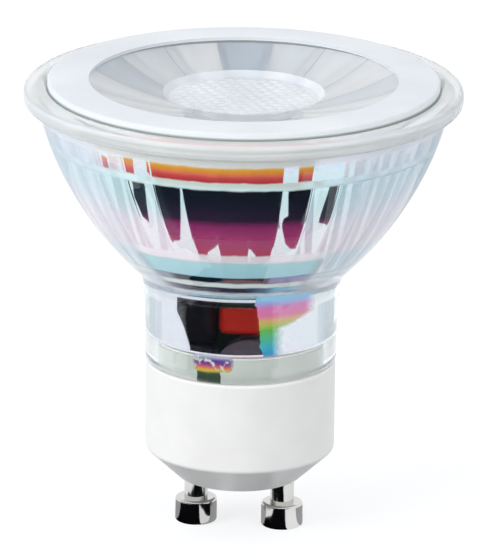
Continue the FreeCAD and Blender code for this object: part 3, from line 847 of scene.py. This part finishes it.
def glass_rim():
    """Outline round the rim and down into the optic's pocket."""
    mouth = (MOUTH_RADIUS, RIM_BOTTOM)
    mouth_before = (cone_radius(RIM_BOTTOM - ARC_CHORD), RIM_BOTTOM - ARC_CHORD)
    rim_low = (RIM_RADIUS, RIM_BOTTOM)
    rim_high = (RIM_RADIUS, GLASS_TOP)
    pocket_high = (POCKET_RADIUS, GLASS_TOP)
    outline = round_corner(mouth_before, mouth, rim_low, RIM_ROOT_ROUND)
    outline += round_corner(mouth, rim_low, rim_high, RIM_ROUND)
    outline += round_corner(rim_low, rim_high, pocket_high, RIM_ROUND)
    return outline + [pocket_high, (POCKET_RADIUS, LENS_SEAT)]


def glass_bore():
    """Rows down the inside: two rows of flutes with plain rings between them, the neck and the band."""
    core = WALL + RING_DEPTH
    mouth_bore = cone_radius(SHORT_ROW[1], WALL)
    neck_top = cone_height(NECK_BORE, core)
    rows = [(mouth_bore, LENS_SEAT, CONE_COAT), (mouth_bore, SHORT_ROW[1], CONE_COAT)]
    for z in spaced(SHORT_ROW[1], SHORT_ROW[0], SHORT_ROW_STEPS):
        rows.append((flute_radii(z), z, CONE_COAT))
    for z in (SHORT_ROW[0], LONG_ROW[1]):
        rows.append((cone_radius(z, core), z, CONE_COAT))
    for z in spaced(LONG_ROW[1], LONG_ROW[0], LONG_ROW_STEPS):
        rows.append((flute_radii(z), z, CONE_COAT))
    for z in spaced(LONG_ROW[0], neck_top, BORE_FOOT_STEPS)[:-1]:
        rows.append((cone_radius(z, core), z, CONE_COAT))
    rows.append((NECK_BORE, neck_top, NECK_COAT))
    rows.append((NECK_BORE, BAND_TOP, CLEAR))
    rows.append((BAND_BORE, BAND_TOP, BAND_GLASS))
    return rows


def glass_body():
    rows = [(r, z, CLEAR) for r, z in glass_outside()]
    rows += [(r, z, RIM_GLASS) for r, z in glass_rim()]
    rows += glass_bore()
    finishes = [
        clear_glass_finish(),
        cone_coat_finish(),
        neck_coat_finish(),
        rim_glass_finish(),
        band_glass_finish(),
    ]
    piece = turned_piece("glass_body", rows, finishes, True)
    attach(piece, "root")
    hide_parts("glass_reflector")


# Front optic

CLEAR_ACRYLIC, FROSTED_ACRYLIC, LENSLET_ACRYLIC, FLANK_ACRYLIC = range(4)
FAR_AWAY = 1e9


def lenslet_height(radius):
    """Height of the small domes round one ring of the tray, which stand in a honeycomb."""
    x = radius * np.cos(ANGLES)
    y = radius * np.sin(ANGLES)
    row_step = LENSLET_PITCH * math.sqrt(3) / 2
    nearest = np.full(COLUMNS, FAR_AWAY)
    first_row = np.floor(y / row_step)
    for row in (first_row, first_row + 1):
        offset = (row % 2) * LENSLET_PITCH / 2
        column = np.round((x - offset) / LENSLET_PITCH)
        centre_x = offset + column * LENSLET_PITCH
        inside = np.hypot(centre_x, row * row_step) + LENSLET_PITCH / 2 < TRAY_FLOOR_RADIUS
        away = (x - centre_x) ** 2 + (y - row * row_step) ** 2
        nearest = np.minimum(nearest, np.where(inside, away, FAR_AWAY))
    return np.maximum(0.0, LENSLET_HEIGHT * (1 - nearest / (LENSLET_DIAMETER / 2) ** 2))


def optic_back():
    """Rows of the cavity over the light source and of the flank round it."""
    run = OPTIC_TOP_RADIUS - OPTIC_FOOT_RADIUS
    rise = LENS_RING_BOTTOM - OPTIC_FOOT
    slant = math.hypot(run, rise)
    rows = []
    for share in spaced(0.0, 1.0, DOME_STEPS):
        z = DOME_TOP - (DOME_TOP - CAVITY_TOP) * share ** 2
        rows.append((CAVITY_TOP_RADIUS * share, z, LENSLET_ACRYLIC))
    rows.append((CAVITY_FOOT_RADIUS, OPTIC_FOOT, LENSLET_ACRYLIC))
    for share in spaced(0.0, 1.0, FLANK_STEPS)[:-1]:
        swell = 4 * share * (1 - share) * OPTIC_BULGE / slant
        r = OPTIC_FOOT_RADIUS + run * share + rise * swell
        z = OPTIC_FOOT + rise * share - run * swell
        rows.append((r, z, FLANK_ACRYLIC))
    rows.append((OPTIC_TOP_RADIUS, LENS_RING_BOTTOM, FROSTED_ACRYLIC))
    return rows


def optic_front():
    """Rows of the frosted ring, the dish and the tray with its small domes."""
    ring_low = (LENS_RADIUS, LENS_RING_BOTTOM)
    ring_high = (LENS_RADIUS, LENS_TOP)
    opening = (OPENING_RADIUS, LENS_TOP)
    ring = [ring_low] + round_corner(ring_low, ring_high, opening, LENS_ROUND) + [opening]
    rows = [(r, z, FROSTED_ACRYLIC) for r, z in ring]
    rows.append((OPENING_RADIUS, DISH_TOP, CLEAR_ACRYLIC))
    rows.append((TRAY_RADIUS, TRAY_TOP, LENSLET_ACRYLIC))
    for r in spaced(TRAY_FLOOR_RADIUS, 0.0, TRAY_STEPS):
        rows.append((r, TRAY_FLOOR + lenslet_height(r), LENSLET_ACRYLIC))
    return rows


def front_optic():
    finishes = [
        clear_acrylic_finish(),
        frosted_acrylic_finish(),
        lenslet_acrylic_finish(),
        flank_acrylic_finish(),
    ]
    piece = turned_piece("front_optic", optic_back() + optic_front(), finishes, False)
    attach(piece, "root")
    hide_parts("front_lens")


# Finishes of the solids that stay: dark tone, light tone, roughness, and what else differs

METAL = {"metal": 1.0}
SOLID_FINISHES = {
    "silicone": (tone(192, 200, 194), tone(228, 232, 229), 0.4, {"cloud": 130.0}),
    "white_board": (tone(236, 236, 233), tone(244, 244, 242), 0.35, {}),
    "white_silicone": (tone(238, 238, 234), tone(246, 246, 243), 0.5, {}),
    "phosphor": (tone(246, 240, 214), tone(250, 245, 224), 0.6, {}),
    "plated_steel": (tone(196, 198, 202), tone(214, 216, 220), 0.25, METAL),
    "solder": (tone(186, 188, 190), tone(210, 211, 212), 0.3, METAL),
    "red_wire": (tone(190, 24, 20), tone(212, 36, 28), 0.35, {}),
    "black_wire": (tone(22, 22, 24), tone(34, 34, 36), 0.35, {}),
    "thermal_pad": (tone(176, 182, 188), tone(192, 197, 202), 0.7, {}),
    "aluminium": (tone(206, 208, 211), tone(222, 224, 226), 0.3, METAL),
    "circuit_board": (tone(24, 92, 48), tone(34, 112, 60), 0.35, {}),
    "capacitor_sleeve": (tone(9, 11, 15), tone(16, 18, 24), 0.3, {"specular": 0.15}),
    "ferrite": (tone(88, 80, 92), tone(118, 110, 122), 0.5, {}),
    "copper_wire": (tone(170, 92, 48), tone(206, 124, 72), 0.3, METAL),
    "film_capacitor_case": (tone(206, 34, 20), tone(222, 52, 30), 0.2, {}),
    "resistor_paint": (tone(96, 140, 162), tone(120, 162, 182), 0.4, {}),
    "chip_package": (tone(26, 26, 28), tone(40, 40, 42), 0.55, {}),
    "chip_ceramic": (tone(30, 30, 32), tone(44, 44, 46), 0.3, {}),
    "white_plastic": (tone(240, 240, 239), tone(246, 246, 245), 0.38, {}),
    "nickel_plate": (tone(206, 205, 203), tone(224, 223, 221), 0.1, METAL),
}


def dress_solids():
    finishes = {
        slot: plain_finish(slot, dark, light, roughness, **other)
        for slot, (dark, light, roughness, other) in SOLID_FINISHES.items()
    }
    for subpart in frame["record"]["subparts"]:
        node = frame["nodes"][subpart["node"]]
        finish = finishes.get(subpart["material_slot"])
        if finish:
            node.data.materials.clear()
            node.data.materials.append(finish)


# Studio

def seen_ray(tree):
    """1 for rays that show the background: straight from the camera, off metal or through glass."""
    rays = place(tree, "LightPath").outputs
    seen = math_node(tree, "MAXIMUM", rays["Is Camera Ray"], rays["Is Glossy Ray"])
    return math_node(tree, "MAXIMUM", seen, rays["Is Transmission Ray"])


def studio_world():
    world = bpy.data.worlds.new("studio")
    bpy.context.scene.world = world
    world.use_nodes = True
    tree = world.node_tree
    tree.nodes.clear()
    strength = mapped(tree, seen_ray(tree), (0.0, 1.0), (WORLD_LIGHT, 1.0))
    background = place(tree, "Background", {"Color": WHITE, "Strength": strength})
    output = place(tree, "OutputWorld")
    tree.links.new(background.outputs["Background"], output.inputs["Surface"])


def studio_sheet(name, points, faces, finish):
    mesh = bpy.data.meshes.new(name)
    mesh.from_pydata([Vector(point) * MM for point in points], [], faces)
    mesh.materials.append(finish)
    sheet = bpy.data.objects.new(name, mesh)
    bpy.context.scene.collection.objects.link(sheet)
    return sheet


def studio_floor():
    """Paper that keeps the bulb's shadow, and is white to the camera, metal and glass."""
    finish = new_finish("floor_paper")
    tree = finish.node_tree
    paper = place(tree, "BsdfPrincipled", {
        "Base Color": tinted(FLOOR_SHADE, FLOOR_TINT),
        "Roughness": 0.9,
        "Specular IOR Level": 0.0,
        "Emission Color": WHITE,
        "Emission Strength": mapped(tree, seen_ray(tree), (0.0, 1.0), (0.0, FLOOR_GLOW)),
    })
    finish_with(finish, paper.outputs["BSDF"])
    signs = ((-1, -1), (1, -1), (1, 1), (-1, 1))
    corners = [(x * FLOOR_REACH, y * FLOOR_REACH, 0) for x, y in signs]
    sheet = studio_sheet("floor", corners, [[0, 1, 2, 3]], finish)


def studio_point(radius, turn, height):
    angle = math.radians(CAMERA_AZIMUTH + turn - 90)
    return (radius * math.cos(angle), radius * math.sin(angle), height)


def reflected_strip(name, rails, finish):
    """Sheet between two rails of points, which only mirrors and glass show."""
    first, second = rails
    count = len(first)
    faces = [[i, i + 1, count + i + 1, count + i] for i in range(count - 1)]
    strip = studio_sheet(name, first + second, faces, finish)
    strip.visible_camera = False
    strip.visible_diffuse = False
    strip.visible_shadow = False
    return strip


def floor_fan(name, finish, edges, centre_x=0.0):
    """Fan on the floor round a centre."""
    inner, outer = [], []
    for here, there in zip(edges, edges[1:]):
        for share in spaced(0.0, 1.0, FAN_STEPS):
            turn, near, far = [a + (b - a) * share for a, b in zip(here, there)]
            for rail, radius in ((inner, near), (outer, far)):
                x, y, z = studio_point(radius, turn, FLAG_LIFT)
                rail.append((x + centre_x, y, z))
    return reflected_strip(name, (inner, outer), finish)


def flag_cloth():
    """Black cloth that only mirrors see: light on its way to or from a matt surface passes it."""
    finish = new_finish("flag_cloth")
    tree = finish.node_tree
    cloth = place(tree, "BsdfPrincipled", {
        "Base Color": (0.004, 0.004, 0.005, 1.0), "Roughness": 1.0, "Specular IOR Level": 0.0})
    clear = place(tree, "BsdfTransparent")
    matt = math_node(tree, "GREATER_THAN", place(tree, "LightPath").outputs["Diffuse Depth"], 0.5)
    shader = place(tree, "MixShader", {0: matt, 1: cloth.outputs["BSDF"], 2: clear.outputs["BSDF"]})
    return finish_with(finish, shader.outputs["Shader"])


def black_flags():
    """Flags that the cone, the neck and the pins mirror as their dark blocks."""
    cloth = flag_cloth()
    for index, flag in enumerate(CONE_FLAGS):
        floor_fan(f"cone_flag_{index}", cloth, flag)
    floor_fan("neck_flag", cloth, NECK_FLAG)
    turns = spaced(*SCREEN_TURNS, SCREEN_STEPS)
    rails = [[studio_point(SCREEN_RADIUS, turn, height) for turn in turns] for height in SCREEN_HEIGHTS]
    reflected_strip("neck_screen", rails, cloth)
    for side, (x, mat) in PIN_MATS.items():
        floor_fan("pin_mat_" + side, cloth, mat, centre_x=x)


def card_paper(name, colour):
    """Paper that shows one even colour in mirrors and glass."""
    finish = new_finish(name)
    return finish_with(finish, place(finish.node_tree, "Emission", {"Color": colour}).outputs["Emission"])


def grey_cards():
    """Cards that shade the glass's sides, the neck's edges and the pins' edges."""
    for side, (colour, cards) in SIDE_CARDS.items():
        paper = card_paper(side + "_paper", colour)
        for index, turns in enumerate(cards):
            fan = tuple((turn,) + SIDE_CARD_REACH for turn in turns)
            floor_fan(f"{side}_card_{index}", paper, fan).visible_glossy = False
    for index, (start, end, level) in enumerate(NECK_CARDS):
        paper = card_paper(f"neck_paper_{index}", tinted(level, NECK_CARD_TINT))
        fan = tuple((turn,) + NECK_CARD_REACH for turn in (start, end))
        floor_fan(f"neck_card_{index}", paper, fan)
    paper = card_paper("pin_paper", PIN_CARD_COLOUR)
    for side, x in (("left", -PIN_X), ("right", PIN_X)):
        for index, card in enumerate(PIN_CARDS):
            floor_fan(f"pin_card_{side}_{index}", paper, card, centre_x=x)


def soft_lamp(name, place_mm, size_mm, power):
    light = bpy.data.lights.new(name, "AREA")
    light.shape = "SQUARE"
    light.size = size_mm * MM
    light.energy = power
    lamp = bpy.data.objects.new(name, light)
    lamp.location = Vector(place_mm) * MM
    aim = Vector((0, 0, CAMERA_TARGET_HEIGHT)) * MM - lamp.location
    lamp.rotation_euler = aim.to_track_quat("-Z", "Y").to_euler()
    lamp.visible_glossy = False
    lamp.visible_transmission = False
    bpy.context.scene.collection.objects.link(lamp)


def studio_camera():
    azimuth = math.radians(CAMERA_AZIMUTH)
    elevation = math.radians(CAMERA_ELEVATION)
    level = math.cos(elevation)
    target = Vector((0, 0, CAMERA_TARGET_HEIGHT))
    away = Vector((math.sin(azimuth) * level, -math.cos(azimuth) * level, math.sin(elevation)))
    place_mm = target + away * CAMERA_DISTANCE
    pixel = CAMERA_DISTANCE / FOCAL_PIXELS
    right = (FRAME_WIDTH / 2 - TARGET_PIXEL[0]) * pixel
    up = (TARGET_PIXEL[1] - FRAME_HEIGHT / 2) * pixel
    aim = target + away.to_track_quat("Z", "Y").to_matrix() @ Vector((right, up, 0))
    roll = Matrix.Rotation(math.radians(CAMERA_ROLL), 3, "Z")
    turn = (place_mm - aim).to_track_quat("Z", "Y").to_matrix() @ roll
    camera = bpy.data.cameras.new("camera")
    camera.sensor_fit = "VERTICAL"
    camera.sensor_height = SENSOR
    camera.lens = FOCAL_PIXELS / FRAME_HEIGHT * SENSOR
    camera.clip_start = CAMERA_CLIP * MM
    camera_object = bpy.data.objects.new("camera", camera)
    camera_object.matrix_world = Matrix.Translation(place_mm * MM) @ turn.to_4x4()
    bpy.context.scene.collection.objects.link(camera_object)
    bpy.context.scene.camera = camera_object


bpy.context.scene.view_settings.view_transform = "Standard"
bpy.context.scene.cycles.max_bounces = 24
bpy.context.scene.cycles.diffuse_bounces = 12
bpy.context.scene.cycles.glossy_bounces = 12
bpy.context.scene.cycles.transmission_bounces = 24
bpy.context.scene.cycles.transparent_max_bounces = 24
glass_body()
front_optic()
dress_solids()
studio_world()
studio_floor()
black_flags()
grey_cards()
for lamp_row in SOFT_LAMPS:
    soft_lamp(*lamp_row)
studio_camera()

bpy.context.view_layer.update()
